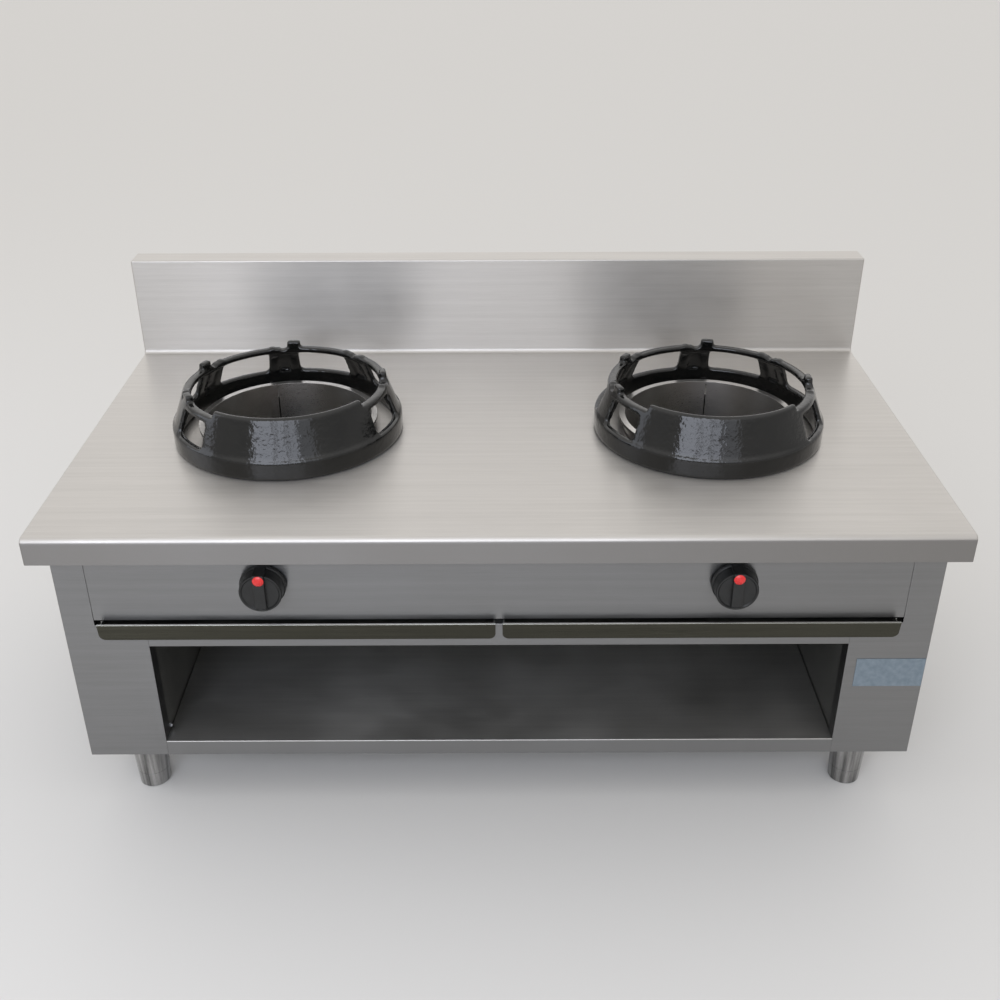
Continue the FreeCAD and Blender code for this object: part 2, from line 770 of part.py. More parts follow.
def burner_head(sign):
    x = sign * burner_offset
    seat = bowl_top + head_seat_gap
    spigot = burner_bowl_radius - burner_wall - bore_gap
    outline = [
        (head_bore, seat),
        (spigot - burner_wall, seat),
        (spigot - burner_wall, seat - head_spigot_height),
        (spigot, seat - head_spigot_height),
        (spigot, seat),
        (burner_bowl_radius, seat),
        (burner_bowl_radius, seat + head_height / 3),
        (head_top_radius, seat + head_height),
        (head_bore, seat + head_height),
    ]
    cap = lathe(outline, Vector(x, well_y, 0), up)
    ports = []
    for index in range(head_port_count):
        port = block(x + head_top_radius, x + 2 * burner_bowl_radius, well_y - head_port_width / 2,
                     well_y + head_port_width / 2, seat + head_height / 3,
                     seat + head_height / 3 + head_port_height)
        ports.append(turned_about(port, x, well_y, index * 360.0 / head_port_count))
    return cut_all(cap, ports)


def injector(sign):
    x = sign * burner_offset
    start = Vector(x, injector_front, knob_z)
    nut = hexagon(start, -back, injector_length - injector_tip_length, injector_flats)
    nut.translate(-back * injector_tip_length)
    tip = Part.makeCone(injector_tip_radius / 2, injector_tip_radius, injector_tip_length, start, -back)
    return join([nut, tip])


def burner_gas_pipe(sign):
    start = Vector(sign * burner_offset, valve_rear, knob_z)
    return rod(start, back, gas_tube_length, gas_tube_radius)


def pilot_centre(sign, side, reach):
    turn = math.radians(pilot_angle[side])
    return Vector(sign * burner_offset + reach * math.cos(turn), well_y + reach * math.sin(turn), 0)


def pilot_burner(sign, side):
    centre = pilot_centre(sign, side, pilot_offset)
    base = bowl_top - pilot_height
    arm_inner = burner_bowl_radius
    arm = block(arm_inner, pilot_offset + pilot_radius + probe_spacing, -pilot_foot_width / 2,
                pilot_foot_width / 2, base, base + pilot_foot_thickness)
    lug_z = bowl_bottom + burner_cone_height
    strap = block(arm_inner - pilot_foot_thickness, arm_inner + pilot_foot_thickness,
                  -pilot_foot_width / 2, pilot_foot_width / 2, base, lug_z + pilot_foot_length / 2)
    bowl = rod(Vector(0, 0, base), up, 2 * pilot_height, burner_bowl_radius)
    bracket = join([arm, strap]).cut(bowl)
    bracket.rotate(Vector(0, 0, 0), up, pilot_angle[side])
    bracket.translate(Vector(sign * burner_offset, well_y, 0))
    stem = rod(centre + up * base, up, pilot_height, pilot_radius)
    bore = rod(centre + up * (bowl_top - pilot_radius), up, 2 * pilot_radius, pilot_radius / 2)
    return join([bracket, stem]).cut(bore)


def thermocouple(sign, side):
    centre = pilot_centre(sign, side, pilot_offset + probe_spacing)
    top = bowl_top + probe_rise
    seat = bowl_top - pilot_height + pilot_foot_thickness
    probe = rod(centre + up * seat, up, top - seat, probe_radius)
    collar = rod(centre + up * seat, up, probe_collar_length, probe_collar_radius)
    return join([probe, collar])


# Controls

def gas_valve(sign):
    x = sign * burner_offset
    half = valve_width / 2
    body = block(x - half, x + half, valve_front, valve_rear, knob_z - valve_height / 2,
                 knob_z + valve_height / 2)
    nose = rod(Vector(x, body_front + cabinet_sheet, knob_z), back, valve_setback - cabinet_sheet,
               valve_nose_radius)
    saddle = rod(Vector(x - half, manifold_y, manifold_z), right, valve_width, manifold_radius)
    cavity_start = valve_front + valve_wall
    cavity = rod(Vector(x, cavity_start, knob_z), back, valve_length - 2 * valve_wall, valve_cavity_radius)
    bore = rod(Vector(x, body_front, knob_z), back, cavity_start - body_front, spindle_radius + bore_gap)
    return join([body, nose]).cut([cavity, bore, saddle])


plunger_front = valve_front + valve_wall + plunger_gap + spindle_collar_length


def valve_plunger(sign):
    x = sign * burner_offset
    disc = rod(Vector(x, plunger_front + plunger_gap, knob_z), back, plunger_length, plunger_radius)
    stem = rod(Vector(x, plunger_front + plunger_gap + plunger_length, knob_z), back,
               plunger_stem_length, plunger_stem_radius)
    return join([disc, stem])


def valve_spindle(sign):
    x = sign * burner_offset
    start = knob_back - spindle_grip
    shaft = rod(Vector(x, start, knob_z), back, plunger_front - start, spindle_radius)
    collar = rod(Vector(x, plunger_front - spindle_collar_length, knob_z), back, spindle_collar_length,
                 spindle_collar_radius)
    flat = block(x - spindle_radius, x + spindle_radius, start, knob_back,
                 knob_z + spindle_radius - spindle_flat, knob_z + spindle_radius)
    return join([shaft, collar]).cut(flat)


def knob_outline():
    """Half section of the knob: radius against distance in front of its back face."""
    rim = knob_face_radius - knob_rim_width
    return [
        (0, 0),
        (knob_base_radius, 0),
        (knob_base_radius, knob_skirt_depth),
        (knob_base_radius - knob_edge_radius, knob_skirt_depth + knob_edge_radius),
        (knob_face_radius, knob_depth - knob_edge_radius),
        (knob_face_radius - knob_edge_radius / 2, knob_depth),
        (rim, knob_depth),
        (rim - knob_dish_depth, knob_depth - knob_dish_depth),
        (0, knob_depth - knob_dish_depth),
    ]


def control_knob(sign):
    x = sign * burner_offset
    centre = Vector(x, knob_back, knob_z)
    body = lathe(knob_outline(), centre, -back)
    half = grip_width / 2
    crest = knob_front - grip_rise
    root = knob_back - knob_skirt_depth
    foot = knob_z - knob_face_radius + knob_edge_radius
    side = [Vector(x - half, root, knob_z), Vector(x - half, root, knob_z + grip_reach),
            Vector(x - half, crest, knob_z + grip_reach), Vector(x - half, crest, foot + grip_foot_inset),
            Vector(x - half, knob_front + knob_dish_depth, foot),
            Vector(x - half, knob_front + knob_dish_depth, knob_z)]
    grip = Part.Face(Part.makePolygon(side + side[:1])).extrude(right * grip_width)
    front_edges = [edge for edge in grip.Edges
                   if near(edge.BoundBox.YMin, crest) and near(edge.BoundBox.YMax, crest)]
    grip = rounded(grip, front_edges, grip_edge_radius)
    seat = rod(Vector(x, knob_front - grip_rise - marker_rise, knob_z + marker_offset), back,
               marker_rise + marker_sink, marker_radius)
    socket = rod(Vector(x, knob_back - spindle_grip, knob_z), back, spindle_grip, spindle_radius)
    key = block(x - spindle_radius, x + spindle_radius, knob_back - spindle_grip, knob_back,
                knob_z + spindle_radius - spindle_flat, knob_z + spindle_radius)
    return join([body, grip]).cut([seat, socket.cut(key)])


def knob_marker(sign):
    """Domed red button let into the upper end of the grip."""
    origin = Vector(sign * burner_offset, knob_front - grip_rise + marker_sink, knob_z + marker_offset)
    dome = (marker_radius ** 2 + marker_rise ** 2) / (2 * marker_rise)
    half_turn = math.asin(marker_radius / dome) / 2
    foot = origin + right * marker_radius
    edge = foot - back * marker_sink
    crest = origin - back * (marker_sink + marker_rise)
    shoulder = crest + right * (dome * math.sin(half_turn)) + back * (dome * (1 - math.cos(half_turn)))
    sides = [Part.LineSegment(origin, foot), Part.LineSegment(foot, edge),
             Part.Arc(edge, shoulder, crest), Part.LineSegment(crest, origin)]
    outline = Part.Wire([line.toShape() for line in sides])
    return Part.Face(outline).revolve(origin, back, 360)


# Gas supply

manifold_half = burner_offset + manifold_overhang


def gas_manifold():
    start = Vector(-manifold_half, manifold_y, manifold_z)
    pipe = rod(start, right, 2 * manifold_half, manifold_radius)
    cavity = rod(start + right * valve_wall, right, 2 * manifold_half - 2 * valve_wall, manifold_bore)
    return pipe.cut(cavity)


def gas_supply_pipe():
    """Pipe from the manifold end, bent once and run back to the rear panel."""
    r = supply_bend_radius
    start = Vector(manifold_half, manifold_y, manifold_z)
    turn_in = Vector(supply_offset - r, manifold_y, manifold_z)
    turn_out = Vector(supply_offset, manifold_y + r, manifold_z)
    across = r * (1 - math.cos(math.radians(45)))
    middle = Vector(supply_offset - across, manifold_y + across, manifold_z)
    end = Vector(supply_offset, rear_panel_front, manifold_z)
    path = Part.Wire([Part.LineSegment(start, turn_in).toShape(),
                      Part.Arc(turn_in, middle, turn_out).toShape(),
                      Part.LineSegment(turn_out, end).toShape()])
    outer = Part.Wire([Part.makeCircle(manifold_radius, start, right)])
    inner = Part.Wire([Part.makeCircle(manifold_bore, start, right)])
    pipe = path.makePipeShell([outer], True, False)
    cavity = path.makePipeShell([inner], True, False)
    return pipe.cut(cavity)


def gas_inlet_fitting():
    start = Vector(supply_offset, rear_panel_front, manifold_z)
    tail = rod(start, back, cabinet_sheet, manifold_radius)
    nut = hexagon(start + back * cabinet_sheet, back, inlet_nut_length, inlet_nut_flats)
    thread = rod(start + back * (cabinet_sheet + inlet_nut_length), back, inlet_thread_length,
                 inlet_thread_radius)
    bore = rod(start, back, cabinet_sheet + inlet_nut_length + inlet_thread_length, inlet_bore)
    return join([tail, nut, thread]).cut(bore)


# Legs and feet

def leg_rows():
    return (body_front + leg_setback, body_rear - leg_setback)


def leg(x, y):
    origin = Vector(x, y, 0)
    outline = [
        (stud_radius + stud_gap, foot_height),
        (leg_foot_radius, foot_height),
        (leg_radius, cabinet_bottom),
        (leg_bolt_radius, cabinet_bottom),
        (leg_bolt_radius, cabinet_bottom - leg_cap_thickness),
        (leg_radius - leg_wall, cabinet_bottom - leg_cap_thickness),
        (leg_foot_radius - leg_wall, foot_height + leg_insert_height),
        (stud_radius + stud_gap, foot_height + leg_insert_height),
    ]
    return lathe(outline, origin, up)


def foot(x, y):
    origin = Vector(x, y, 0)
    top = foot_height - foot_gap
    outline = [
        (0, 0),
        (foot_radius - foot_edge_radius, 0),
        (foot_radius, foot_edge_radius),
        (leg_foot_radius, top),
        (stud_radius, top),
        (stud_radius, top + stud_length),
        (0, top + stud_length),
    ]
    return lathe(outline, origin, up)


def leg_bolts():
    bolts = []
    for x in (-leg_offset, leg_offset):
        for y in leg_rows():
            head = hexagon(Vector(x, y, cabinet_bottom + cabinet_sheet), up, leg_bolt_head, leg_bolt_flats)
            shank = rod(Vector(x, y, cabinet_bottom - leg_cap_thickness), up,
                        leg_cap_thickness + cabinet_sheet, leg_bolt_radius)
            bolts.append(join([head, shank]))
    return Part.makeCompound(bolts)


# Small parts

def rating_plate():
    x1 = body_half - plate_edge_gap
    z1 = worktop_height - plate_drop
    return block(x1 - plate_width, x1, body_front - plate_thickness, body_front, z1 - plate_height, z1)


def rear_panel_screws():
    screws = []
    span = underside - cabinet_bottom - 2 * panel_flange
    for x in (-body_half + screw_inset, body_half - screw_inset):
        for row in range(screw_rows):
            z = cabinet_bottom + panel_flange + span * row / (screw_rows - 1)
            head = Part.makeCone(screw_head_radius, screw_head_radius / 2, screw_head_height,
                                 Vector(x, body_rear, z), back)
            shank = rod(Vector(x, body_rear - screw_length, z), back, screw_length, screw_radius)
            screws.append(join([head, shank]))
    return Part.makeCompound(screws)


def liner_cap_nut():
    """Domed nut on the end of a screw that comes through the left-hand liner."""
    start = Vector(-compartment_half - cabinet_sheet, body_front + cap_nut_setback, shelf_top + cap_nut_lift)
    nut = hexagon(start, right, cap_nut_length, cap_nut_flats)
    dome = Part.makeSphere(cap_nut_dome, start + right * cap_nut_length, right)
    behind = block(start.x - cap_nut_length, start.x, start.y - cap_nut_flats, start.y + cap_nut_flats,
                   start.z - cap_nut_flats, start.z + cap_nut_flats)
    return join([nut, dome]).cut(behind)


def with_screw_holes(solid):
    return solid.cut(rear_panel_screws())


def build():
    nodes = {
        "worktop": worktop(),
        "splashback_rear_panel": splashback_rear_panel(),
        "rear_panel": with_screw_holes(rear_panel()),
        "control_fascia": control_fascia(),
        "crossbar": crossbar(),
        "base_shelf": base_shelf(),
        "tray_runner_centre": tray_runner_centre(),
        "gas_manifold": gas_manifold(),
        "gas_supply_pipe": gas_supply_pipe(),
        "gas_inlet_fitting": gas_inlet_fitting(),
        "rating_plate": rating_plate(),
        "leg_bolts": leg_bolts(),
        "rear_panel_screws": rear_panel_screws(),
        "liner_cap_nut": liner_cap_nut(),
    }
    for side, sign in (("left", -1), ("right", 1)):
        nodes["side_panel_" + side] = with_screw_holes(side_panel(sign))
        nodes["side_liner_" + side] = side_liner(sign)
        nodes["tray_runner_" + side] = tray_runner(sign)
        nodes["drip_tray_" + side] = drip_tray(sign)
        nodes["tray_handle_" + side] = tray_handle(sign)
        nodes["burner_sleeve_" + side] = burner_sleeve(sign, side)
        nodes["wok_ring_" + side] = wok_ring(sign, side)
        nodes["burner_support_" + side] = burner_support(sign)
        nodes["burner_body_" + side] = burner_body(sign)
        nodes["burner_head_" + side] = burner_head(sign)
        nodes["injector_" + side] = injector(sign)
        nodes["burner_gas_pipe_" + side] = burner_gas_pipe(sign)
        nodes["pilot_burner_" + side] = pilot_burner(sign, side)
        nodes["thermocouple_" + side] = thermocouple(sign, side)
        nodes["gas_valve_" + side] = gas_valve(sign)
        nodes["valve_plunger_" + side] = valve_plunger(sign)
        nodes["valve_spindle_" + side] = valve_spindle(sign)
        nodes["control_knob_" + side] = control_knob(sign)
        nodes["knob_marker_" + side] = knob_marker(sign)
        for row, y in zip(("front", "rear"), leg_rows()):
            nodes["leg_" + row + "_" + side] = leg(sign * leg_offset, y)
            nodes["foot_" + row + "_" + side] = foot(sign * leg_offset, y)
    return nodes


os.makedirs("parts", exist_ok=True)
for name, shape in build().items():
    shape.exportStep("parts/" + name + ".step")
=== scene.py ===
import math

import bmesh
import bpy
from mathutils import Matrix, Vector


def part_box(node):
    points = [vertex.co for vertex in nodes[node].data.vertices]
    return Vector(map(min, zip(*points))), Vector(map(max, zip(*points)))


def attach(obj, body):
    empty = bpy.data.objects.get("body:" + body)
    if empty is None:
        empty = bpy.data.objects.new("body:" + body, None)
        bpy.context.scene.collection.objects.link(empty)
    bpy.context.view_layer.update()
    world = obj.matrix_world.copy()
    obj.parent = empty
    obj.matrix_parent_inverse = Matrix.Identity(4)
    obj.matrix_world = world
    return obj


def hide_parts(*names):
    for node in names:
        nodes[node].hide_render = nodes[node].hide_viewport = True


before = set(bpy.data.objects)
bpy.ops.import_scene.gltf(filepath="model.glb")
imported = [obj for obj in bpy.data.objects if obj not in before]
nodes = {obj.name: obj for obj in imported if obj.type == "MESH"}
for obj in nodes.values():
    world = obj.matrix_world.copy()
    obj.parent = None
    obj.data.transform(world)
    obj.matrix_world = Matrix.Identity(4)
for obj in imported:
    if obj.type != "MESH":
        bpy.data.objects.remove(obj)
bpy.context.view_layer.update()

mm = 0.001
sides = ("left", "right")
noiseSpan = {"From Min": 0.3, "From Max": 0.7}   # where nearly all values of a noise lie
patchDetail = 3.0                                # octaves in soft patches
glossPatch = 0.7                                 # size of the patches in gloss against those in tone
edgeSamples = 4                                  # rays that look round each softened edge


def hexColour(text):
    # sRGB hex to the linear colour that shaders and lamps take
    values = [int(text[i:i + 2], 16) / 255 for i in (1, 3, 5)]
    return tuple(v / 12.92 if v <= 0.04045 else ((v + 0.055) / 1.055) ** 2.4 for v in values) + (1.0,)


def addNode(tree, kind, settings=None, links=None):
    # settings: attributes or unlinked inputs; links: inputs fed by a node's first output or by a named one
    # inputs go by name, or by number where a node repeats its names: in Mix, 2 and 3 are the values,
    # 4 and 5 the vectors, 6 and 7 the colours
    node = tree.nodes.new("ShaderNode" + kind)
    for key, value in (settings or {}).items():
        if isinstance(key, str) and hasattr(node, key):
            setattr(node, key, value)
        else:
            node.inputs[key].default_value = value
    for key, source in (links or {}).items():
        tree.links.new(source.outputs[0] if isinstance(source, bpy.types.Node) else source, node.inputs[key])
    return node


def newMaterial(name):
    material = bpy.data.materials.new(name)
    material.use_nodes = True
    material.node_tree.nodes.clear()
    return material, material.node_tree


def patches(tree, size, low, high):
    # soft uneven patches of about the given size in mm, as values from low to high
    source = addNode(tree, "TexCoord").outputs["Object"]
    cloud = addNode(tree, "TexNoise", {"Scale": 1 / (size * mm), "Detail": patchDetail}, {"Vector": source})
    return addNode(tree, "MapRange", {**noiseSpan, "To Min": low, "To Max": high}, {"Value": cloud})


def tonesOf(look):
    # settings of a Mix node that goes from a finish's darker colour to its lighter one
    return {"data_type": "RGBA", 6: hexColour(look["darker"]), 7: hexColour(look["lighter"])}


def clouded(name, look):
    # a plain finish: patchy tone and gloss, with a fine grain standing out of it and softened edges
    material, tree = newMaterial(name)
    tone = addNode(tree, "Mix", tonesOf(look), {0: patches(tree, look["patch"], 0.0, 1.0)}).outputs[2]
    rough = patches(tree, look["patch"] * glossPatch, *look["rough"])
    rounded = addNode(tree, "Bevel", {"samples": edgeSamples, "Radius": look["edge"] * mm})
    bump = addNode(tree, "Bump", {"Strength": look["grainShows"], "Distance": look["grainDepth"] * mm},
                   {"Height": patches(tree, look["grain"], 0.0, 1.0), "Normal": rounded})
    shader = addNode(tree, "BsdfPrincipled", {"Metallic": look["metal"]},
                     {"Base Color": tone, "Roughness": rough, "Normal": bump})
    addNode(tree, "OutputMaterial", links={"Surface": shader})
    return material


belt = {
    "grainWidth": 0.45,      # mm between scratches; the real 0.05 mm would not show, so they are coarser
    "grainLength": 60.0,     # mm
    "grainShows": 0.05,
    "grainDepth": 0.02,      # mm
    "streakWidth": 9.0,      # mm, the broad faint bands that the belt leaves
    "streakLength": 700.0,   # mm
    "detail": 2.0,           # octaves in scratches and bands
    "turn": 0.5,             # squared sideways part of the normal past which a face is an end
    "streaks": 0.4,          # share of the bands in the tone; the scratches have the rest
    "toneFrom": 0.35,        # lower is all darker tone, and above the next value all lighter
    "toneTo": 0.65,
    "roughSpread": 0.03,     # the scratches' roughness above and below the sheet's own
    "smearSize": 170.0,      # mm, wiping marks
    "smear": (-0.03, 0.04),  # and what they add to the roughness
    "edge": 0.6,             # mm
    "paintedShadeFade": 2.0,         # mm over which the painted shade of a turned-down edge goes over into the sheet's tone
    "paintedHighlightFrom": 0.3,         # upward part of the normal where the painted highlight on a bend begins
    "paintedHighlightTo": 0.7,           # and where it is wholly so
}


def beltLines(tree, width, length, upright):
    # fine lines that run along X on tops and fronts, along Y on the cabinet's ends, or up a leg
    coordinate = addNode(tree, "TexCoord")
    facing = addNode(tree, "SeparateXYZ", links={0: coordinate.outputs["Normal"]})
    sideways = facing.outputs["X"]
    square = addNode(tree, "Math", {"operation": "MULTIPLY"}, {0: sideways, 1: sideways})
    onEnd = addNode(tree, "Math", {"operation": "GREATER_THAN", 1: belt["turn"]}, {0: square})
    along = 1 / (length * mm)
    across = 1 / (width * mm)
    front = (across, across, along) if upright else (along, across, across)
    end = (across, across, along) if upright else (across, along, across)
    frontSpace = addNode(tree, "Mapping", {"Scale": front}, {"Vector": coordinate.outputs["Object"]})
    endSpace = addNode(tree, "Mapping", {"Scale": end}, {"Vector": coordinate.outputs["Object"]})
    space = addNode(tree, "Mix", {"data_type": "VECTOR"}, {0: onEnd, 4: frontSpace, 5: endSpace}).outputs[1]
    return addNode(tree, "TexNoise", {"Scale": 1.0, "Detail": belt["detail"]}, {"Vector": space})


def acrossBelt(tree):
    # highlights stretch across the brush lines: up and down on upright faces, to and fro on level ones
    facing = addNode(tree, "SeparateXYZ", links={0: addNode(tree, "NewGeometry").outputs["Normal"]})
    level = addNode(tree, "Math", {"operation": "ABSOLUTE"}, {0: facing.outputs["Z"]})
    return addNode(tree, "CombineXYZ", {"Z": 1.0}, {"Y": level})


def sheetShade(tree, tone, look):
    # painted light and shade: below a given height a sheet goes over into its darker edge tone, painted
    # shade on the worktop's front edge; upward-facing bends of a strip take a lighter tone, a painted
    # highlight
    if "paintedShadeBelow" in look:
        # painted shade: faces below the height take the darker edge tone
        height = addNode(tree, "SeparateXYZ", links={0: addNode(tree, "TexCoord").outputs["Object"]})
        fade = {"From Min": look["paintedShadeBelow"] - belt["paintedShadeFade"] * mm, "From Max": look["paintedShadeBelow"],
                "To Min": 1.0, "To Max": 0.0}
        level = addNode(tree, "MapRange", fade, {"Value": height.outputs["Z"]})
        other = look["edge"]
    elif "paintedHighlight" in look:
        # painted highlight: faces turned upward take the lighter tone
        facing = addNode(tree, "SeparateXYZ", links={0: addNode(tree, "TexCoord").outputs["Normal"]})
        paintedHighlightRange = {"From Min": belt["paintedHighlightFrom"], "From Max": belt["paintedHighlightTo"]}
        level = addNode(tree, "MapRange", paintedHighlightRange, {"Value": facing.outputs["Z"]})
        other = look["paintedHighlight"]
    else:
        return tone
    shade = {"data_type": "RGBA", 7: hexColour(other)}
    return addNode(tree, "Mix", shade, {0: level, 6: tone}).outputs[2]


def brushedStainless(name, look):
    # belt-brushed 304 sheet: long fine lines, highlights drawn out across them, faint smears from wiping
    material, tree = newMaterial(name)
    upright = look.get("upright", False)
    grain = beltLines(tree, belt["grainWidth"], belt["grainLength"], upright)
    streak = beltLines(tree, belt["streakWidth"], belt["streakLength"], upright)
    both = addNode(tree, "Mix", {0: look.get("streaks", belt["streaks"])}, {2: grain, 3: streak})
    level = addNode(tree, "MapRange", {"From Min": belt["toneFrom"], "From Max": belt["toneTo"]},
                    {"Value": both})
    tone = sheetShade(tree, addNode(tree, "Mix", tonesOf(look), {0: level}).outputs[2], look)
    spread = addNode(tree, "MapRange", {**noiseSpan, "To Min": look["rough"] - belt["roughSpread"],
                                        "To Max": look["rough"] + belt["roughSpread"]}, {"Value": grain})
    smear = patches(tree, belt["smearSize"], *belt["smear"])
    rough = addNode(tree, "Math", {"operation": "ADD"}, {0: spread, 1: smear})
    rounded = addNode(tree, "Bevel", {"samples": edgeSamples, "Radius": belt["edge"] * mm})
    bump = addNode(tree, "Bump", {"Strength": belt["grainShows"], "Distance": belt["grainDepth"] * mm},
                   {"Height": grain, "Normal": rounded})
    links = {"Base Color": tone, "Roughness": rough, "Normal": bump}
    if look["stretch"]:
        links["Tangent"] = acrossBelt(tree)
    shader = addNode(tree, "BsdfPrincipled", {"Metallic": 1.0, "Anisotropic": look["stretch"]}, links)
    addNode(tree, "OutputMaterial", links={"Surface": shader})
    return material


# each height in m given below is where a sheet's darker edge tone begins, painted shade that runs down from
# there
stainless = {
    "worktop": {"darker": "#b9b6b2", "lighter": "#c5c2be", "rough": 0.4, "stretch": 0.8,
                "paintedShadeBelow": 0.545, "edge": "#8e8c8a"},
    # painted shade: a darker copy of the worktop's steel, standing for the darker room that the cabinet's
    # fronts mirror
    "cabinet": {"darker": "#848484", "lighter": "#8c8c8c", "rough": 0.34, "stretch": 0.8},
    # painted light: the shelf's deck is a lighter copy of the steel that lifts the shade in the compartment;
    # the rail below keeps a darker tone, and its rounded top, above the height, is a painted highlight line
    "shelf": {"darker": "#b8b7b5", "lighter": "#c4c3c0", "rough": 0.34, "stretch": 0.8,
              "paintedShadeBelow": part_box("base_shelf")[1][2] - 0.5 * mm, "edge": "#878787"},
    # painted shade: the strip's dark tones stand for the dark floor it mirrors; its upward bends take a
    # painted highlight
    "handle": {"darker": "#43423b", "lighter": "#4f4e45", "rough": 0.24, "stretch": 0.8, "paintedHighlight": "#c4c3bd"},
    # the legs' lengthwise bands over a wide range of tone are partly brush bands and partly painted
    # reflection streaks of a polished tube
    "leg": {"darker": "#6c6c6b", "lighter": "#c0bfbe", "rough": 0.2, "stretch": 0.0,
            "upright": True, "streaks": 0.8},
    "sleeve": {"darker": "#c2c0bd", "lighter": "#cccac7", "rough": 0.3, "stretch": 0.7},
}
# cloudy rolled sheet inside the cabinet: no lines, slightly greasy
innerSheet = {"darker": "#979793", "lighter": "#9f9f9b", "patch": 150.0, "rough": (0.34, 0.46), "grain": 1.2,
              "grainDepth": 0.03, "grainShows": 0.05, "metal": 1.0, "edge": 0.5}
traySheet = {**innerSheet, "darker": "#7f7f7b", "lighter": "#8c8c88"}
# grey iron left as cast and browned by the flame
rawIron = {"darker": "#3a3836", "lighter": "#4a3a30", "patch": 33.0, "rough": (0.62, 0.78), "grain": 1.5,
           "grainDepth": 0.3, "grainShows": 0.5, "metal": 0.6, "edge": 1.5}
# heat-proof phenolic moulding: near black, satin, worn a little smoother on the grip
phenolic = {"darker": "#101111", "lighter": "#1a1b1b", "patch": 11.0, "rough": (0.34, 0.46), "grain": 0.7,
            "grainDepth": 0.05, "grainShows": 0.12, "metal": 0.0, "edge": 1.0}
# glossy pressed-in button, slightly duller where it is dirty at the rim
redPlastic = {"darker": "#c92a2a", "lighter": "#e0302f", "patch": 4.0, "rough": (0.18, 0.3), "grain": 1.0,
              "grainDepth": 0.02, "grainShows": 0.1, "metal": 0.0, "edge": 0.5}
# machined brass gone dull under a brownish film
dullBrass = {"darker": "#8d6a37", "lighter": "#c9a45a", "patch": 14.0, "rough": (0.28, 0.5), "grain": 0.6,
             "grainDepth": 0.03, "grainShows": 0.15, "metal": 1.0, "edge": 0.4}
# zinc-plated steel: bluish grey with a faint spangle
zinc = {"darker": "#8f9296", "lighter": "#a6a9ac", "patch": 6.0, "rough": (0.34, 0.5), "grain": 0.8,
        "grainDepth": 0.02, "grainShows": 0.1, "metal": 1.0, "edge": 0.3}
# thin anodised aluminium: bluish silver, satin
anodised = {"darker": "#7d8b96", "lighter": "#8d9aa6", "patch": 9.0, "rough": (0.34, 0.44), "grain": 0.5,
            "grainDepth": 0.02, "grainShows": 0.1, "metal": 0.85, "edge": 0.2}

worktopSteel = brushedStainless("brushedStainlessWorktop", stainless["worktop"])
cabinetSteel = brushedStainless("brushedStainlessCabinet", stainless["cabinet"])
shelfSteel = brushedStainless("brushedStainlessShelf", stainless["shelf"])
handleSteel = brushedStainless("stainlessStripPaintedShade", stainless["handle"])
legSteel = brushedStainless("polishedStainlessTube", stainless["leg"])
sleeveSteel = brushedStainless("rolledStainlessSleeve", stainless["sleeve"])
sheet = clouded("millFinishSheet", innerSheet)
tray = clouded("greasyTraySheet", traySheet)
iron = clouded("heatBrownedCastIron", rawIron)
knobBlack = clouded("satinBlackPhenolic", phenolic)
markerRed = clouded("glossyRedPlastic", redPlastic)
brass = clouded("dulledBrass", dullBrass)
plated = clouded("zincPlatedSteel", zinc)
plate = clouded("satinAnodisedPlate", anodised)
print("finishes made:", len(bpy.data.materials))

finishOf = {
    "worktop": worktopSteel,
    "control_fascia": cabinetSteel,
    "crossbar": cabinetSteel,
    "base_shelf": shelfSteel,
    "rating_plate": plate,
    "gas_manifold": plated,
    "gas_supply_pipe": plated,
    "gas_inlet_fitting": brass,
    "splashback_rear_panel": sheet,
    "rear_panel": sheet,
    "tray_runner_centre": sheet,
    "leg_bolts": plated,
    "liner_cap_nut": plated,
    "rear_panel_screws": plated,
}
finishOfPair = {
    "side_panel": cabinetSteel,
    "side_liner": sheet,
    "tray_runner": sheet,
    "drip_tray": tray,
    "tray_handle": handleSteel,
    "burner_sleeve": sleeveSteel,
    "burner_support": sheet,
    "burner_body": iron,
    "burner_head": iron,
    "pilot_burner": plated,
    "thermocouple": plated,
    "injector": brass,
    "gas_valve": brass,
    "burner_gas_pipe": plated,
    "valve_plunger": plated,
    "valve_spindle": plated,
    "control_knob": knobBlack,
    "knob_marker": markerRed,
    "leg_front": legSteel,
    "leg_rear": legSteel,
    "foot_front": legSteel,
    "foot_rear": legSteel,
}
for name, material in finishOfPair.items():
    for side in sides:
        finishOf[name + "_" + side] = material
for nodeName, material in finishOf.items():
    for materialSlot in nodes[nodeName].material_slots:
        materialSlot.material = material
print("CAD nodes dressed:", len(finishOf), "of", len(nodes))


ring = {
    "weld": 0.01,            # mm, corners closer than this are one
    "voxel": 2.2,            # mm, fineness of the new mesh
    "softening": 14,         # rounds of smoothing, which give the rounded edges of a sand casting
    "darker": "#0a0b0b",
    "lighter": "#141413",
    "patch": 45.0,           # mm
    "rough": (0.05, 0.12),
    "runs": 24.0,            # mm, sags where the enamel ran before it was fired
    "peel": 6.0,             # mm, orange peel
    "peelHeight": 0.45,      # against 1 for the sags
    "depth": 0.6,            # mm
    "depthShows": 0.4,
    "glassIor": 1.52,
}


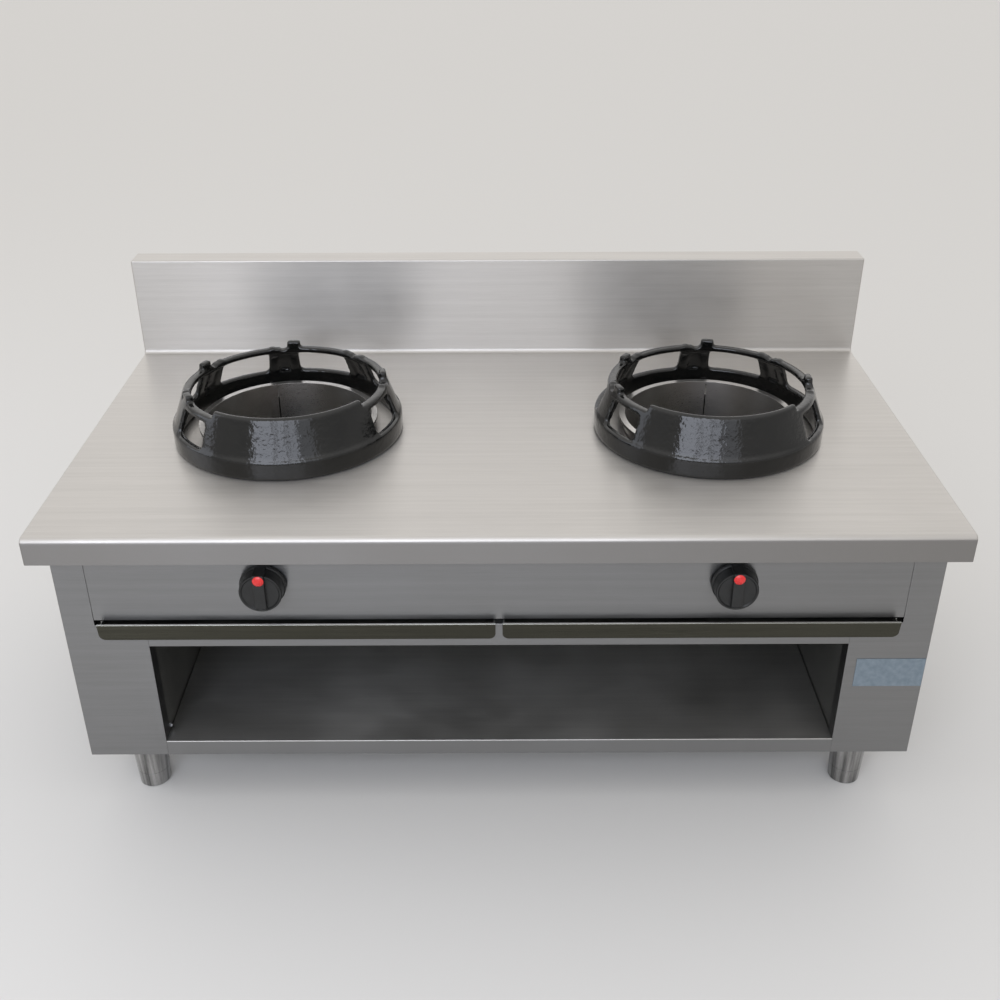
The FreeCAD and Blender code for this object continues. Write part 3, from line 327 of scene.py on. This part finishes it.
def enamel():
    # black vitreous enamel on a sand casting: wet gloss over sags, orange peel and the rough iron below
    material, tree = newMaterial("blackVitreousEnamel")
    tone = addNode(tree, "Mix", tonesOf(ring), {0: patches(tree, ring["patch"], 0.0, 1.0)}).outputs[2]
    rough = patches(tree, ring["patch"], *ring["rough"])
    height = addNode(tree, "Math", {"operation": "ADD"},
                     {0: patches(tree, ring["runs"], 0.0, 1.0),
                      1: patches(tree, ring["peel"], 0.0, ring["peelHeight"])})
    bump = addNode(tree, "Bump", {"Strength": ring["depthShows"], "Distance": ring["depth"] * mm},
                   {"Height": height})
    shader = addNode(tree, "BsdfPrincipled", {"IOR": ring["glassIor"]},
                     {"Base Color": tone, "Roughness": rough, "Normal": bump})
    addNode(tree, "OutputMaterial", links={"Surface": shader})
    return material


def softCasting(side, material):
    # a copy of the CAD ring, remeshed evenly and smoothed, which then stands for it
    cast = nodes["wok_ring_" + side]
    bm = bmesh.new()
    bm.from_mesh(cast.data)
    bmesh.ops.remove_doubles(bm, verts=bm.verts, dist=ring["weld"] * mm)
    bmesh.ops.recalc_face_normals(bm, faces=bm.faces)
    mesh = bpy.data.meshes.new("wokRingRough")
    bm.to_mesh(mesh)
    bm.free()
    piece = bpy.data.objects.new("wokRingCasting_" + side, mesh)
    bpy.context.scene.collection.objects.link(piece)
    remesh = piece.modifiers.new("evenMesh", "REMESH")
    remesh.mode = "VOXEL"
    remesh.voxel_size = ring["voxel"] * mm
    soften = piece.modifiers.new("soften", "SMOOTH")
    soften.iterations = ring["softening"]
    graph = bpy.context.evaluated_depsgraph_get()
    finished = bpy.data.meshes.new_from_object(piece.evaluated_get(graph))
    finished.name = "wokRingCasting_" + side
    piece.modifiers.clear()
    piece.data = finished
    bpy.data.meshes.remove(mesh)
    finished.materials.clear()
    finished.materials.append(material)
    finished.shade_smooth()
    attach(piece, "wok_ring_body_" + side)
    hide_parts(cast.name)
    return len(finished.polygons)


blackEnamel = enamel()
faceCounts = [softCasting(side, blackEnamel) for side in sides]
print("wok rings recast, faces:", faceCounts)


studio = {
    "floorColour": "#cfcecc",
    "floorRough": 0.9,
    "floorReach": 40.0,      # m; fills the whole frame
    "lampColour": "#e9f0ff",
    "skyColour": "#fcfaf8",
    "skyLow": 0.58,          # brightness of the room at and below the horizon
    "skyHigh": 1.1,          # brightness of the white ceiling
    "skyStart": 0.2,         # upward part of a direction where the ceiling begins
    "skyFull": 0.65,         # and where it is whole
    "backWall": 1.35,        # brightness of the lit wall behind the range
    "wallStart": 0.3,        # backward part of a direction where the wall begins
    "wallFull": 0.8,         # and where it is whole
}
# place and target in m, width and height in m, and brightness
softboxes = {
    "frontFarLeft": ((-1.41, -3.2, 2.1), (-1.41, 0, 0.6), 1.38, 1.8, 4.0),
    "frontLeft": ((-0.31, -3.2, 2.1), (-0.31, 0, 0.6), 0.62, 1.8, 3.7),
    "frontRight": ((0.4, -3.2, 2.1), (0.4, 0, 0.6), 0.6, 1.8, 3.2),
    "frontFarRight": ((1.3, -3.2, 2.1), (1.3, 0, 0.6), 1.0, 1.8, 0.8),
    "left": ((-3.2, -0.2, 1.5), (0, 0, 0.5), 1.6, 1.6, 1.2),
}


def makeFloor():
    bm = bmesh.new()
    bmesh.ops.create_grid(bm, x_segments=1, y_segments=1, size=studio["floorReach"])
    mesh = bpy.data.meshes.new("studioFloor")
    bm.to_mesh(mesh)
    bm.free()
    floor = bpy.data.objects.new("studioFloor", mesh)
    bpy.context.scene.collection.objects.link(floor)
    material, tree = newMaterial("paleStudioFloor")
    shader = addNode(tree, "BsdfPrincipled", {"Base Color": hexColour(studio["floorColour"]),
                                              "Roughness": studio["floorRough"]})
    addNode(tree, "OutputMaterial", links={"Surface": shader})
    mesh.materials.append(material)


def makeSoftbox(name, place, target, width, height, brightness):
    # a softbox as bright as written: power = brightness x area x pi
    data = bpy.data.lights.new(name + "Softbox", "AREA")
    data.shape = "RECTANGLE"
    data.size = width
    data.size_y = height
    data.energy = brightness * width * height * math.pi
    data.color = hexColour(studio["lampColour"])[:3]
    lamp = bpy.data.objects.new(name + "Softbox", data)
    bpy.context.scene.collection.objects.link(lamp)
    aim = Vector(target) - Vector(place)
    lamp.matrix_world = Matrix.Translation(place) @ aim.to_track_quat("-Z", "Y").to_matrix().to_4x4()


def makeWorld():
    world = bpy.data.worlds.new("paleStudio")
    bpy.context.scene.world = world
    world.use_nodes = True
    tree = world.node_tree
    tree.nodes.clear()
    direction = addNode(tree, "SeparateXYZ", links={0: addNode(tree, "TexCoord").outputs["Generated"]})
    level = addNode(tree, "MapRange", {"From Min": studio["skyStart"], "From Max": studio["skyFull"],
                                       "To Min": studio["skyLow"], "To Max": studio["skyHigh"]},
                    {"Value": direction.outputs["Z"]})
    behind = addNode(tree, "MapRange", {"From Min": studio["wallStart"], "From Max": studio["wallFull"],
                                        "To Max": studio["backWall"]}, {"Value": direction.outputs["Y"]})
    brighter = addNode(tree, "Math", {"operation": "MAXIMUM"}, {0: level, 1: behind})
    sky = addNode(tree, "Background", {"Color": hexColour(studio["skyColour"])}, {"Strength": brighter})
    addNode(tree, "OutputWorld", links={"Surface": sky})


# the photograph's view, worked out from its straight edges and ring curves
view = {
    "place": (0.0003, -1.8514, 1.4368),
    "pitch": 29.26,          # degrees down
    "yaw": 0.07,
    "roll": -0.18,
    "lens": 42.44,           # mm
    "sensor": 36.0,          # mm wide
    "nearest": 0.01,         # m
}


def makeCamera():
    place = Vector(view["place"])
    pitch, yaw, roll = (math.radians(view[turn]) for turn in ("pitch", "yaw", "roll"))
    aim = Vector((math.sin(yaw) * math.cos(pitch), math.cos(yaw) * math.cos(pitch), -math.sin(pitch)))
    level = Vector((math.cos(yaw), -math.sin(yaw), 0))
    top = level.cross(aim)
    across = level * math.cos(roll) + top * math.sin(roll)
    above = top * math.cos(roll) - level * math.sin(roll)
    data = bpy.data.cameras.new("photoCamera")
    data.lens = view["lens"]
    data.sensor_width = view["sensor"]
    data.clip_start = view["nearest"]
    camera = bpy.data.objects.new("photoCamera", data)
    bpy.context.scene.collection.objects.link(camera)
    camera.matrix_world = Matrix.Translation(place) @ Matrix((across, above, -aim)).transposed().to_4x4()
    bpy.context.scene.camera = camera


makeFloor()
makeWorld()
for boxName, box in softboxes.items():
    makeSoftbox(boxName, *box)
makeCamera()
bpy.context.scene.view_settings.view_transform = "Standard"
print("stage, light and camera set")
